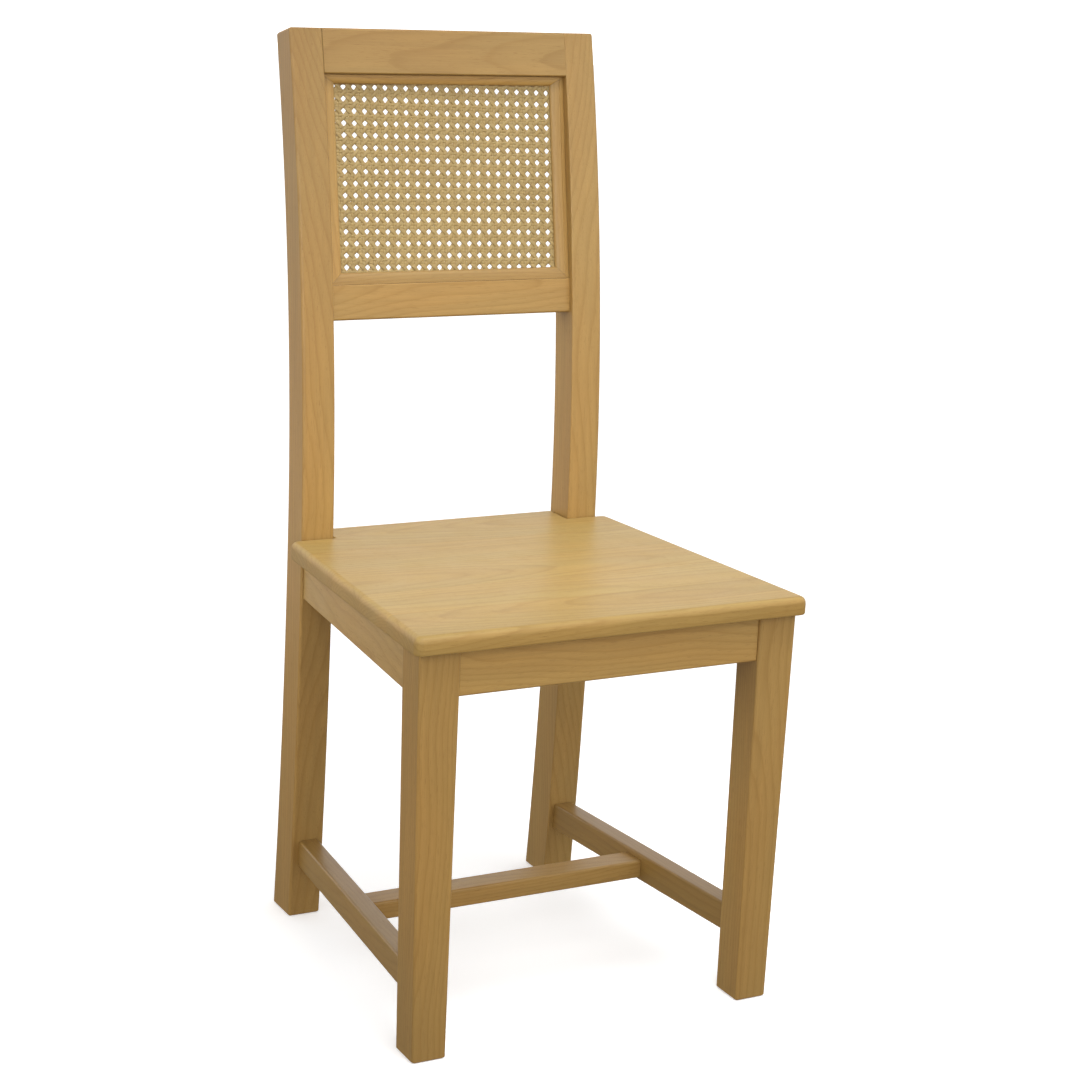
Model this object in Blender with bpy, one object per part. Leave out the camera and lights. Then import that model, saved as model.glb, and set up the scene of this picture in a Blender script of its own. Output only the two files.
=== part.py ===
"""High back dining chair in solid wood: sabre-curved rear posts, tapered front
legs, an edge-glued plank seat on mortised aprons, an H stretcher, and a caned
back panel held between front beads and rear strips.

Units are metres, +Z is up, the front of the chair faces -Y and -X is the left
side as seen from the front. The origin is on the floor, under the middle of the
chair's bounding box.
"""

import math

import bmesh
import bpy

for old in list(bpy.data.objects):
    bpy.data.objects.remove(old, do_unlink=True)

MM = 0.001

# Overall
HEIGHT = 1020 * MM  # floor to the top of the back
SEAT_TOP = 460 * MM
SEAT_THICK = 20 * MM
GAP = 0.3 * MM  # glue line or fitting gap between touching pieces
Y_SHIFT = -237.17 * MM  # moves the front face of the front legs from 0 to its place

# Rear posts: one sabre-curved piece each, from the floor to the top of the back
POST_OUT = 188.5 * MM  # outer face, from the middle of the chair
POST_IN = 150.2 * MM  # inner face
POST_FRONT = 382.3 * MM  # front face at seat height, behind the front legs' front
FOOT_SPLAY = 18.6 * MM  # how far the foot lies behind the seat-height point
TOP_RAKE = 64 * MM  # how far the top lies behind it
POST_DEPTH_FOOT = 49.2 * MM
POST_DEPTH_TOP = 38.7 * MM

# Front legs: upright inner face, tapered outer face
LEG_OUT_TOP = 221.4 * MM
LEG_OUT_FOOT = 215.2 * MM
LEG_IN_TOP = 175.8 * MM
LEG_IN_FOOT = 177.2 * MM
LEG_DEPTH = 42 * MM
LEG_TOP = SEAT_TOP - SEAT_THICK - GAP

# Aprons under the seat
APRON_BOTTOM = 390.5 * MM
APRON_TOP = LEG_TOP
APRON_THICK = 20 * MM
APRON_SET_BACK = 3 * MM
REAR_APRON_BACK = 420 * MM
SIDE_APRON_FRONT_X = 208 * MM  # middle of the side apron at the front leg
SIDE_APRON_REAR_X = 175.5 * MM  # and at the rear post

# Stretchers: the side ones stand on edge, the cross one lies flat
STRETCHER_THICK = 22.9 * MM
STRETCHER_BOTTOM = 63.3 * MM
STRETCHER_TOP = 95.7 * MM
STRETCHER_FRONT_X = 197.5 * MM
STRETCHER_REAR_X = 169.3 * MM
CROSS_FRONT = 208.5 * MM
CROSS_BACK = 240.5 * MM
CROSS_BOTTOM = 67 * MM
CROSS_TOP = 88.5 * MM

# Seat: boards that run from side to side
SEAT_FRONT = -10 * MM
SEAT_BACK = 424 * MM
SEAT_HALF_FRONT = 230.1 * MM
SEAT_HALF_REAR = 203.4 * MM
SEAT_JOINTS = [74 * MM, 152 * MM, 240 * MM, 322 * MM]
SEAT_TOP_ROUND = 7.5 * MM
SEAT_BOTTOM_ROUND = 2.5 * MM
POST_CLEARANCE = 0.5 * MM

# Back frame
CREST_BOTTOM = 971.2 * MM
CREST_THICK = 26 * MM
LOWER_RAIL_MIDDLE = 722.6 * MM
LOWER_RAIL_TALL = 39.3 * MM
LOWER_RAIL_THICK = 24 * MM
LOWER_RAIL_RECESS = 7 * MM
CANE_RECESS = 14.3 * MM  # front of the cane behind the front of the posts
CANE_THICK = 1.6 * MM
BEAD_SIDE = 15.2 * MM
BEAD_TOP = 9.6 * MM
BEAD_BOTTOM = 13.2 * MM
BEAD_TALL = 6 * MM
STRIP_SIDE = 12 * MM
STRIP_TOP = 8.4 * MM
STRIP_BOTTOM = 11 * MM
STRIP_THICK = 9 * MM

# Screws
SHANK_R = 2 * MM
HEAD_R = 4 * MM
HEAD_TALL = 2.6 * MM
BLOCK_BOTTOM = 397 * MM
BLOCK_TOP = 437 * MM

WOOD = (0.62, 0.42, 0.19, 1)
CANE = (0.72, 0.58, 0.34, 1)
STEEL = (0.62, 0.60, 0.57, 1)


# Scene helpers


def collection(name, hidden=False):
    made = bpy.data.collections.new(name)
    bpy.context.scene.collection.children.link(made)
    made.hide_render = hidden
    return made


CHAIR = collection("high_back_dining_chair")
CUTTERS = collection("cutters", hidden=True)
ROOT = bpy.data.objects.new("chair_origin", None)
CHAIR.objects.link(ROOT)


def material(name, colour, roughness, metallic=0.0):
    made = bpy.data.materials.new(name)
    made.use_nodes = True
    shader = made.node_tree.nodes["Principled BSDF"]
    shader.inputs["Base Color"].default_value = colour
    shader.inputs["Roughness"].default_value = roughness
    shader.inputs["Metallic"].default_value = metallic
    made.diffuse_color = colour
    return made


def wood(name):
    return material(name, WOOD, 0.45)


def build(name, points, faces, mat=None, origin=(0, 0, 0)):
    """A mesh object from points measured from the front legs' front face."""
    mesh = bpy.data.meshes.new(name)
    work = bmesh.new()
    placed = [
        work.verts.new((x - origin[0], y - origin[1], z - origin[2]))
        for x, y, z in points
    ]
    for face in faces:
        work.faces.new([placed[i] for i in face])
    bmesh.ops.recalc_face_normals(work, faces=work.faces)
    work.to_mesh(mesh)
    work.free()
    made = bpy.data.objects.new(name, mesh)
    made.location = (origin[0], origin[1] + Y_SHIFT, origin[2])
    if mat is None:
        CUTTERS.objects.link(made)
        made.hide_render = True
        made.display_type = "WIRE"
    else:
        mesh.materials.append(mat)
        CHAIR.objects.link(made)
        made.parent = ROOT
    return made


def skin(name, rings, mat=None, origin=(0, 0, 0)):
    """A closed body through rings with equal numbers of points, capped at both ends."""
    count = len(rings[0])
    points = [point for ring in rings for point in ring]
    faces = [tuple(range(count))]
    for r in range(len(rings) - 1):
        for i in range(count):
            j = (i + 1) % count
            a, b = r * count, (r + 1) * count
            faces.append((a + i, a + j, b + j, b + i))
    last = (len(rings) - 1) * count
    faces.append(tuple(last + i for i in range(count)))
    return build(name, points, faces, mat, origin)


def boolean(target, cutter, operation="DIFFERENCE"):
    made = target.modifiers.new(f"{operation.lower()}_{cutter.name}", "BOOLEAN")
    made.operation = operation
    made.object = cutter
    made.solver = "EXACT"


# Outlines


def fillet(corners, radii, steps=3):
    """A polygon with each corner replaced by an arc of steps + 1 points."""
    outline = []
    for i, (cx, cy) in enumerate(corners):
        px, py = corners[i - 1]
        nx, ny = corners[(i + 1) % len(corners)]
        ax, ay = px - cx, py - cy
        bx, by = nx - cx, ny - cy
        al, bl = math.hypot(ax, ay), math.hypot(bx, by)
        ax, ay, bx, by = ax / al, ay / al, bx / bl, by / bl
        half = math.acos(max(-1, min(1, ax * bx + ay * by))) / 2
        reach = radii[i] / math.tan(half)
        mx, my = ax + bx, ay + by
        ml = math.hypot(mx, my)
        away = radii[i] / math.sin(half)
        ox, oy = cx + mx / ml * away, cy + my / ml * away
        start = math.atan2(cy + ay * reach - oy, cx + ax * reach - ox)
        end = math.atan2(cy + by * reach - oy, cx + bx * reach - ox)
        turn = (end - start + math.pi) % (2 * math.pi) - math.pi
        for k in range(steps + 1):
            angle = start + turn * k / steps
            outline.append(
                (ox + radii[i] * math.cos(angle), oy + radii[i] * math.sin(angle))
            )
    return outline


def box_outline(x0, x1, y0, y1, radii, steps=3):
    if not isinstance(radii, (list, tuple)):
        radii = [radii] * 4
    return fillet([(x0, y0), (x1, y0), (x1, y1), (x0, y1)], radii, steps)


def grown(outline, by):
    """An outline moved outwards by about the same distance all round."""
    cx = sum(x for x, _ in outline) / len(outline)
    cy = sum(y for _, y in outline) / len(outline)
    wide = max(math.hypot(x - cx, y - cy) for x, y in outline)
    return [
        (
            x + by * max(-1, min(1, 3 * (x - cx) / wide)),
            y + by * max(-1, min(1, 3 * (y - cy) / wide)),
        )
        for x, y in outline
    ]


# Posts and legs


def post_front(z):
    """The front face of a rear post: one parabola below the seat, one above."""
    if z < SEAT_TOP:
        return POST_FRONT + FOOT_SPLAY * ((z - SEAT_TOP) / SEAT_TOP) ** 2
    return POST_FRONT + TOP_RAKE * ((z - SEAT_TOP) / (HEIGHT - SEAT_TOP)) ** 2


def post_slope(z):
    if z < SEAT_TOP:
        return 2 * FOOT_SPLAY * (z - SEAT_TOP) / SEAT_TOP**2
    return 2 * TOP_RAKE * (z - SEAT_TOP) / (HEIGHT - SEAT_TOP) ** 2


def post_depth(z):
    return POST_DEPTH_FOOT + (POST_DEPTH_TOP - POST_DEPTH_FOOT) * z / HEIGHT


def rear_post(name, side):
    def ring(z, inset=0.0, inner_inset=0.0, lift=0.0):
        depth = post_depth(z)
        lean = max(0.0, post_slope(z))
        outline = box_outline(
            POST_IN + inner_inset,
            POST_OUT - inset,
            inset,
            depth - inset,
            [
                max(1.6 * MM - inset / 2, 0.4 * MM),
                max(3.2 * MM - inset, 0.5 * MM),
                max(3.2 * MM - inset, 0.5 * MM),
                max(1.6 * MM - inset / 2, 0.4 * MM),
            ],
            4,
        )
        return [(side * x, post_front(z) + d, z + lift - d * lean) for x, d in outline]

    sole, easing = 1.5 * MM, 3 * MM
    rings = [ring(0, sole, sole, 0), ring(sole, 0, 0, 0)]
    below, above = 11, 15
    rings += [ring(SEAT_TOP * k / below) for k in range(1, below)]
    top = HEIGHT - easing
    rings += [ring(SEAT_TOP + (top - SEAT_TOP) * k / above) for k in range(above + 1)]
    for k in (1, 2, 3):
        angle = math.radians(30 * k)
        inset = easing * (1 - math.cos(angle))
        lift = easing * math.sin(angle)
        rings.append(ring(top, inset, inset * 0.25, lift))
    middle = ((POST_IN + POST_OUT) / 2 * side, post_front(0) + POST_DEPTH_FOOT / 2, 0)
    return skin(name, rings, wood(name), middle)


def leg_inner(z):
    return LEG_IN_FOOT + (LEG_IN_TOP - LEG_IN_FOOT) * z / LEG_TOP


def leg_outer(z):
    return LEG_OUT_FOOT + (LEG_OUT_TOP - LEG_OUT_FOOT) * z / LEG_TOP


def front_leg(name, side):
    def ring(z, inset=0.0):
        outline = box_outline(
            leg_inner(z) + inset,
            leg_outer(z) - inset,
            inset,
            LEG_DEPTH - inset,
            [2.4 * MM, 3.2 * MM, 3.2 * MM, 2.4 * MM],
            4,
        )
        return [(side * x, y, z) for x, y in outline]

    sole = 1.5 * MM
    rings = [ring(0, sole), ring(sole)]
    rings += [ring(LEG_TOP * k / 6) for k in range(1, 7)]
    middle = ((LEG_IN_FOOT + LEG_OUT_FOOT) / 2 * side, LEG_DEPTH / 2, 0)
    return skin(name, rings, wood(name), middle)


# Members with a tenon at each end


def member(name, place, body, tenon, ends, reach, origin):
    """A rail with tenons, and the two mortise cutters that take them.

    place(s, p, q) puts outline point (p, q) at station s. ends are the two
    shoulders as functions of the outline point, and reach the tenons' tips.
    """
    first, second = ends
    rings = [
        [place(reach[0], p, q) for p, q in tenon],
        [place(first(p, q), p, q) for p, q in tenon],
        [place(first(p, q), p, q) for p, q in body],
        [place(second(p, q), p, q) for p, q in body],
        [place(second(p, q), p, q) for p, q in tenon],
        [place(reach[1], p, q) for p, q in tenon],
    ]
    made = skin(name, rings, wood(name), origin)
    wide = grown(tenon, GAP)
    cutters = []
    for end, tip, sign in ((first, reach[0], -1), (second, reach[1], 1)):
        cutters.append(
            skin(
                f"mortise_{name}_{'start' if sign < 0 else 'end'}",
                [
                    [place(end(p, q) - sign * 4 * MM, p, q) for p, q in wide],
                    [place(tip + sign * GAP, p, q) for p, q in wide],
                ],
            )
        )
    return made, cutters


def across(s, p, q):
    """A member that runs from left to right: outline in (y, z)."""
    return (s, p, q)


def line(a, b, y0, y1):
    """x as a straight function of y."""
    return lambda y: a + (b - a) * (y - y0) / (y1 - y0)


posts = {
    -1: rear_post("rear_post_left", -1),
    1: rear_post("rear_post_right", 1),
}
legs = {
    -1: front_leg("front_leg_left", -1),
    1: front_leg("front_leg_right", 1),
}
SIDE_NAMES = {-1: "left", 1: "right"}

# Front apron
apron_front, cuts = member(
    "front_apron",
    across,
    box_outline(
        APRON_SET_BACK,
        APRON_SET_BACK + APRON_THICK,
        APRON_BOTTOM,
        APRON_TOP,
        [2.4 * MM, 1.6 * MM, 0.8 * MM, 0.8 * MM],
    ),
    box_outline(8 * MM, 18 * MM, 397 * MM, 433 * MM, 1 * MM),
    (lambda p, q: -leg_inner(q) + GAP, lambda p, q: leg_inner(q) - GAP),
    (-194 * MM, 194 * MM),
    (0, APRON_SET_BACK + APRON_THICK / 2, APRON_BOTTOM),
)
boolean(legs[-1], cuts[0])
boolean(legs[1], cuts[1])

# Rear apron
apron_rear, cuts = member(
    "rear_apron",
    across,
    box_outline(
        REAR_APRON_BACK - APRON_THICK,
        REAR_APRON_BACK,
        APRON_BOTTOM,
        APRON_TOP,
        [1.6 * MM, 2.4 * MM, 0.8 * MM, 0.8 * MM],
    ),
    box_outline(405 * MM, 415 * MM, 397 * MM, 433 * MM, 1 * MM),
    (lambda p, q: -POST_IN + GAP, lambda p, q: POST_IN - GAP),
    (-170 * MM, 170 * MM),
    (0, REAR_APRON_BACK - APRON_THICK / 2, APRON_BOTTOM),
)
boolean(posts[-1], cuts[0])
boolean(posts[1], cuts[1])

# Side aprons and side stretchers run back and inwards
apron_x = line(SIDE_APRON_FRONT_X, SIDE_APRON_REAR_X, LEG_DEPTH, POST_FRONT)
stretcher_x = line(STRETCHER_FRONT_X, STRETCHER_REAR_X, LEG_DEPTH, POST_FRONT)
side_aprons, side_stretchers = {}, {}
for side, word in SIDE_NAMES.items():
    made, cuts = member(
        f"{word}_apron",
        lambda s, p, q, side=side: (side * (apron_x(s) + p), s, q),
        box_outline(
            -APRON_THICK / 2,
            APRON_THICK / 2,
            APRON_BOTTOM,
            APRON_TOP,
            [1.6 * MM, 2.4 * MM, 0.8 * MM, 0.8 * MM],
        ),
        box_outline(-5 * MM, 5 * MM, 397 * MM, 433 * MM, 1 * MM),
        (lambda p, q: LEG_DEPTH + GAP, lambda p, q: post_front(q) - GAP),
        (24 * MM, 398.3 * MM),
        (side * apron_x(212 * MM), 212 * MM, APRON_BOTTOM),
    )
    boolean(legs[side], cuts[0])
    boolean(posts[side], cuts[1])
    side_aprons[side] = made
    made, cuts = member(
        f"{word}_stretcher",
        lambda s, p, q, side=side: (side * (stretcher_x(s) + p), s, q),
        box_outline(
            -STRETCHER_THICK / 2,
            STRETCHER_THICK / 2,
            STRETCHER_BOTTOM,
            STRETCHER_TOP,
            2.4 * MM,
        ),
        box_outline(-6 * MM, 6 * MM, 69.5 * MM, 89.5 * MM, 1 * MM),
        (lambda p, q: LEG_DEPTH + GAP, lambda p, q: post_front(q) - GAP),
        (22 * MM, 414 * MM),
        (side * stretcher_x(212 * MM), 212 * MM, STRETCHER_BOTTOM),
    )
    boolean(legs[side], cuts[0])
    boolean(posts[side], cuts[1])
    side_stretchers[side] = made

# Cross stretcher, tenoned into the side ones
cross, cuts = member(
    "cross_stretcher",
    across,
    box_outline(CROSS_FRONT, CROSS_BACK, CROSS_BOTTOM, CROSS_TOP, 2.4 * MM),
    box_outline(214.5 * MM, 234.5 * MM, 72.5 * MM, 83.5 * MM, 1 * MM),
    (
        lambda p, q: -(stretcher_x(p) - STRETCHER_THICK / 2) + GAP,
        lambda p, q: stretcher_x(p) - STRETCHER_THICK / 2 - GAP,
    ),
    (-183 * MM, 183 * MM),
    (0, (CROSS_FRONT + CROSS_BACK) / 2, CROSS_BOTTOM),
)
boolean(side_stretchers[-1], cuts[0])
boolean(side_stretchers[1], cuts[1])

# Back frame, in the (y, z) plane. The cane lies in one flat plane between rails.


def step(point, direction, by):
    return (point[0] + direction[0] * by, point[1] + direction[1] * by)


lower_tilt = math.atan(post_slope(LOWER_RAIL_MIDDLE))
lower_up = (math.sin(lower_tilt), math.cos(lower_tilt))
lower_back = (math.cos(lower_tilt), -math.sin(lower_tilt))
lower_middle = (post_front(LOWER_RAIL_MIDDLE) + LOWER_RAIL_RECESS, LOWER_RAIL_MIDDLE)
lower_top = step(lower_middle, lower_up, LOWER_RAIL_TALL / 2)
lower_foot = step(lower_middle, lower_up, -LOWER_RAIL_TALL / 2)
crest_foot = (post_front(CREST_BOTTOM), CREST_BOTTOM)
crest_top = (post_front(HEIGHT), HEIGHT)
cane_tilt = math.atan(
    (crest_foot[0] - post_front(lower_top[1])) / (CREST_BOTTOM - lower_top[1])
)
cane_up = (math.sin(cane_tilt), math.cos(cane_tilt))
cane_back = (math.cos(cane_tilt), -math.sin(cane_tilt))
top_tilt = math.atan(post_slope(HEIGHT))
top_back = (math.cos(top_tilt), -math.sin(top_tilt))


def rail_outlines(corners, radii, tenon_tall, tenon_thick, up, back):
    cy = sum(y for y, _ in corners) / 4
    cz = sum(z for _, z in corners) / 4
    small = []
    for tall, deep in ((-1, -1), (-1, 1), (1, 1), (1, -1)):
        point = step((cy, cz), up, tall * tenon_tall / 2)
        small.append(step(point, back, deep * tenon_thick / 2))
    return fillet(corners, radii), fillet(small, [1 * MM] * 4)


post_face = (lambda p, q: -POST_IN + GAP, lambda p, q: POST_IN - GAP)

body, tenon = rail_outlines(
    [
        lower_foot,
        step(lower_foot, lower_back, LOWER_RAIL_THICK),
        step(lower_top, cane_back, LOWER_RAIL_THICK),
        lower_top,
    ],
    [2.4 * MM, 1.6 * MM, 1.2 * MM, 1.2 * MM],
    26 * MM,
    10 * MM,
    lower_up,
    lower_back,
)
lower_rail, cuts = member(
    "lower_back_rail",
    across,
    body,
    tenon,
    post_face,
    (-171 * MM, 171 * MM),
    (0, lower_middle[0] + LOWER_RAIL_THICK / 2, LOWER_RAIL_MIDDLE),
)
boolean(posts[-1], cuts[0])
boolean(posts[1], cuts[1])

crest_lean = math.atan2(crest_top[0] - crest_foot[0], crest_top[1] - crest_foot[1])
body, tenon = rail_outlines(
    [
        crest_foot,
        step(crest_foot, cane_back, CREST_THICK),
        step(crest_top, top_back, CREST_THICK),
        crest_top,
    ],
    [1.6 * MM, 1.2 * MM, 3 * MM, 3 * MM],
    30 * MM,
    11 * MM,
    (math.sin(crest_lean), math.cos(crest_lean)),
    (math.cos(crest_lean), -math.sin(crest_lean)),
)
crest, cuts = member(
    "crest_rail",
    across,
    body,
    tenon,
    post_face,
    (-171 * MM, 171 * MM),
    (0, crest_foot[0] + CREST_THICK / 2, (CREST_BOTTOM + HEIGHT) / 2),
)
boolean(posts[-1], cuts[0])
boolean(posts[1], cuts[1])

# Cane panel, beads and strips, in the panel's own frame: x, up the panel (t) and
# out of its front (w)
cane_low = step(lower_top, cane_back, CANE_RECESS - LOWER_RAIL_RECESS)
cane_high = step(crest_foot, cane_back, CANE_RECESS)
panel_half_tall = (
    (cane_high[0] - cane_low[0]) * cane_up[0]
    + (cane_high[1] - cane_low[1]) * cane_up[1]
) / 2
panel_middle = (
    (cane_low[0] + cane_high[0]) / 2,
    (cane_low[1] + cane_high[1]) / 2,
)
HALF_WIDE = POST_IN - GAP
HALF_TALL = panel_half_tall - GAP


def on_panel(x, t, w):
    y, z = step(step(panel_middle, cane_up, t), cane_back, -w)
    return (x, y, z)


PANEL_ORIGIN = on_panel(0, 0, 0)


def framing(name, profile, place_edge):
    """A mitred strip: profile points (u, w), with u from 0 at the frame member to 1
    at the lip, so that strips of unlike width still meet along one mitre."""
    rings = [
        [place_edge(end, u, w) for u, w in profile]
        for end in (-1, 1)
    ]
    return skin(name, rings, wood(name), PANEL_ORIGIN)


def horizontal(sign, wide, side):
    def place(end, u, w):
        return on_panel(
            end * (HALF_WIDE - u * side - GAP / 2), sign * (HALF_TALL - u * wide), w
        )

    return place


def vertical(sign, wide, ends):
    def place(end, u, w):
        return on_panel(
            sign * (HALF_WIDE - u * wide),
            end * (HALF_TALL - u * ends[end] - GAP / 2),
            w,
        )

    return place


edge_flat, lip, arc_steps = 0.26, 0.9 * MM, 7
bead_profile = [(0, GAP), (0, BEAD_TALL), (edge_flat, BEAD_TALL)]
for k in range(arc_steps + 1):
    angle = math.pi / 2 * k / arc_steps
    bead_profile.append(
        (
            edge_flat + 0.02 + (0.98 - edge_flat) * math.sin(angle),
            lip + (BEAD_TALL - 0.7 * MM - lip) * math.cos(angle),
        )
    )
bead_profile.append((1, GAP))
strip_profile = [
    (0, -CANE_THICK - GAP - STRIP_THICK),
    (0.9, -CANE_THICK - GAP - STRIP_THICK),
    (0.97, -CANE_THICK - GAP - STRIP_THICK + 0.4 * MM),
    (1, -CANE_THICK - GAP - STRIP_THICK + 1.2 * MM),
    (1, -CANE_THICK - GAP),
    (0, -CANE_THICK - GAP),
]
for kind, profile, wide_side, wide_top, wide_bottom in (
    ("bead", bead_profile, BEAD_SIDE, BEAD_TOP, BEAD_BOTTOM),
    ("strip", strip_profile, STRIP_SIDE, STRIP_TOP, STRIP_BOTTOM),
):
    ends = {-1: wide_bottom, 1: wide_top}
    framing(f"{kind}_bottom", profile, horizontal(-1, wide_bottom, wide_side))
    framing(f"{kind}_top", profile, horizontal(1, wide_top, wide_side))
    framing(f"{kind}_left", profile, vertical(-1, wide_side, ends))
    framing(f"{kind}_right", profile, vertical(1, wide_side, ends))

cane_outline = box_outline(
    -HALF_WIDE + 0.2 * MM,
    HALF_WIDE - 0.2 * MM,
    -HALF_TALL + 0.2 * MM,
    HALF_TALL - 0.2 * MM,
    1 * MM,
    2,
)
skin(
    "cane_panel",
    [[on_panel(x, t, w) for x, t in cane_outline] for w in (-CANE_THICK, 0)],
    material("cane_panel", CANE, 0.55),
    PANEL_ORIGIN,
)

# Seat: one rounded slab, parted into boards that are glued edge to edge


def seat_outline(inset):
    """The seat's plan, notched round the posts, with its free edges moved in."""
    free, snug = inset, inset * 0.35
    back = POST_FRONT - POST_CLEARANCE
    slope = (SEAT_HALF_REAR - SEAT_HALF_FRONT) / (back - SEAT_FRONT)

    def edge_x(y):
        return SEAT_HALF_FRONT + slope * (y - SEAT_FRONT) - free

    tongue = POST_IN - POST_CLEARANCE - snug
    right = [
        (edge_x(SEAT_FRONT + free), SEAT_FRONT + free),
        (edge_x(back - snug), back - snug),
        (tongue, back - snug),
        (tongue, SEAT_BACK - snug),
    ]
    left = [(-x, y) for x, y in reversed(right)]
    round_front, round_ear = 9 * MM - free, 6 * MM - snug
    radii = [round_front, round_ear, 0.8 * MM, 1.5 * MM]
    return fillet(right + left, radii + radii[::-1], 4)


slab_rings = []
bottom = SEAT_TOP - SEAT_THICK
for k in range(3):
    angle = math.pi / 4 * k
    slab_rings.append(
        (
            SEAT_BOTTOM_ROUND * (1 - math.sin(angle)),
            bottom + SEAT_BOTTOM_ROUND * (1 - math.cos(angle)),
        )
    )
for k in range(6):
    angle = math.pi / 10 * k
    slab_rings.append(
        (
            SEAT_TOP_ROUND * (1 - math.cos(angle)),
            SEAT_TOP - SEAT_TOP_ROUND * (1 - math.sin(angle)),
        )
    )
slab = skin(
    "seat_slab",
    [[(x, y, z) for x, y in seat_outline(inset)] for inset, z in slab_rings],
)
edges = [SEAT_FRONT - 5 * MM] + SEAT_JOINTS + [SEAT_BACK + 5 * MM]
boards = []
for i in range(len(edges) - 1):
    name = f"seat_board_{i + 1}"
    y0, y1 = edges[i] + GAP / 2, edges[i + 1] - GAP / 2
    z0, z1 = bottom - 5 * MM, SEAT_TOP + 5 * MM
    plan = [(-250 * MM, y0), (250 * MM, y0), (250 * MM, y1), (-250 * MM, y1)]
    board = skin(
        name,
        [[(x, y, z) for x, y in plan] for z in (z0, z1)],
        wood(name),
        (0, (y0 + y1) / 2, SEAT_TOP),
    )
    boolean(board, slab, "INTERSECT")
    boards.append(board)

# Corner blocks with their screws


def cylinder_rings(centre, axis, rows, count=16):
    """Rings for a turned body along axis: rows of (distance, radius)."""
    ax, ay, az = axis
    if abs(az) > 0.5:
        u, v = (1, 0, 0), (0, 1, 0)
    else:
        u, v = (-ay, ax, 0), (0, 0, 1)
    rings = []
    for along, radius in rows:
        ring = []
        for k in range(count):
            angle = 2 * math.pi * k / count
            c, s = radius * math.cos(angle), radius * math.sin(angle)
            ring.append(
                tuple(
                    centre[i] + axis[i] * along + u[i] * c + v[i] * s for i in range(3)
                )
            )
        rings.append(ring)
    return rings


def screw(name, head, axis, length, holes, counterbored):
    """A wood screw whose head's underside is at head, and the holes that take it."""
    rows = [
        (-HEAD_TALL, HEAD_R * 0.55),
        (-HEAD_TALL * 0.75, HEAD_R * 0.88),
        (-HEAD_TALL * 0.3, HEAD_R),
        (0, HEAD_R),
        (0, SHANK_R),
        (length - 4 * MM, SHANK_R),
        (length, 0.5 * MM),
    ]
    steel = material(name, STEEL, 0.35, 1.0)
    skin(name, cylinder_rings(head, axis, rows, 12), steel, head)
    bore = skin(
        f"bore_{name}",
        cylinder_rings(
            head, axis, [(-10 * MM, SHANK_R + GAP), (length + GAP, SHANK_R + GAP)], 12
        ),
    )
    seat = skin(
        f"counterbore_{name}",
        cylinder_rings(
            head, axis, [(-30 * MM, HEAD_R + 2 * GAP), (GAP, HEAD_R + 2 * GAP)], 12
        ),
    )
    for target in holes:
        boolean(target, bore)
    boolean(counterbored, seat)


front_inner = APRON_SET_BACK + APRON_THICK + GAP
rear_inner = REAR_APRON_BACK - APRON_THICK - GAP


def apron_inner_x(y):
    return apron_x(y) - APRON_THICK / 2 - GAP


def meet(c, sign):
    """Where the line x = c + sign * y crosses the side apron's inner face."""
    slope = (SIDE_APRON_REAR_X - SIDE_APRON_FRONT_X) / (POST_FRONT - LEG_DEPTH)
    start = SIDE_APRON_FRONT_X - slope * LEG_DEPTH - APRON_THICK / 2 - GAP
    y = (start - c) / (sign - slope)
    return (apron_inner_x(y), y)


for side, word in SIDE_NAMES.items():
    for where in ("front", "rear"):
        if where == "front":
            near, far, sign, wall = 131 * MM, 97 * MM, 1, front_inner
        else:
            near, far, sign, wall = 531 * MM, 497 * MM, -1, rear_inner
        plan = [
            (far + sign * wall, wall),
            (near + sign * wall, wall),
            meet(near, sign),
            meet(far, sign),
        ]
        name = f"corner_block_{where}_{word}"
        middle = (
            side * sum(x for x, _ in plan) / 4,
            sum(y for _, y in plan) / 4,
            BLOCK_BOTTOM,
        )
        block = skin(
            name,
            [
                [(side * x, y, z) for x, y in fillet(plan, [1 * MM] * 4, 1)]
                for z in (BLOCK_BOTTOM, BLOCK_TOP)
            ],
            wood(name),
            middle,
        )
        # A screw into the front or rear apron
        x = sum(x for x, _ in plan[:2]) / 2
        head_y = (x - far) / sign - sign * 4 * MM
        screw(
            f"screw_{where}_{word}_a",
            (side * x, head_y, 427 * MM),
            (0, -sign, 0),
            abs(head_y - wall) + 12 * MM,
            [block, apron_front if where == "front" else apron_rear],
            block,
        )
        # A screw into the side apron
        y = (plan[2][1] + plan[3][1]) / 2
        head_x = far + sign * y + 4 * MM
        screw(
            f"screw_{where}_{word}_b",
            (side * head_x, y, 407 * MM),
            (side, 0, 0),
            apron_inner_x(y) - head_x + 12 * MM,
            [block, side_aprons[side]],
            block,
        )
        # A screw up into the seat
        centre_x = (
            (plan[0][0] + plan[1][0]) / 2 + (plan[2][0] + plan[3][0]) / 2
        ) / 2
        centre_y = (wall + (plan[2][1] + plan[3][1]) / 2) / 2
        screw(
            f"screw_{where}_{word}_seat",
            (side * centre_x, centre_y, BLOCK_BOTTOM + 9 * MM),
            (0, 0, 1),
            46 * MM,
            [block, boards[0] if where == "front" else boards[-1]],
            block,
        )
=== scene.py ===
"""High back dining chair: the looks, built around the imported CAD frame.

Golden wood with a satin lacquer on every frame piece, its grain running along
each piece, a plank seat, and a back panel of woven cane whose strands are
modelled one by one.
"""

import math

import bpy
import numpy as np
from mathutils import Matrix, Vector


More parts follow.
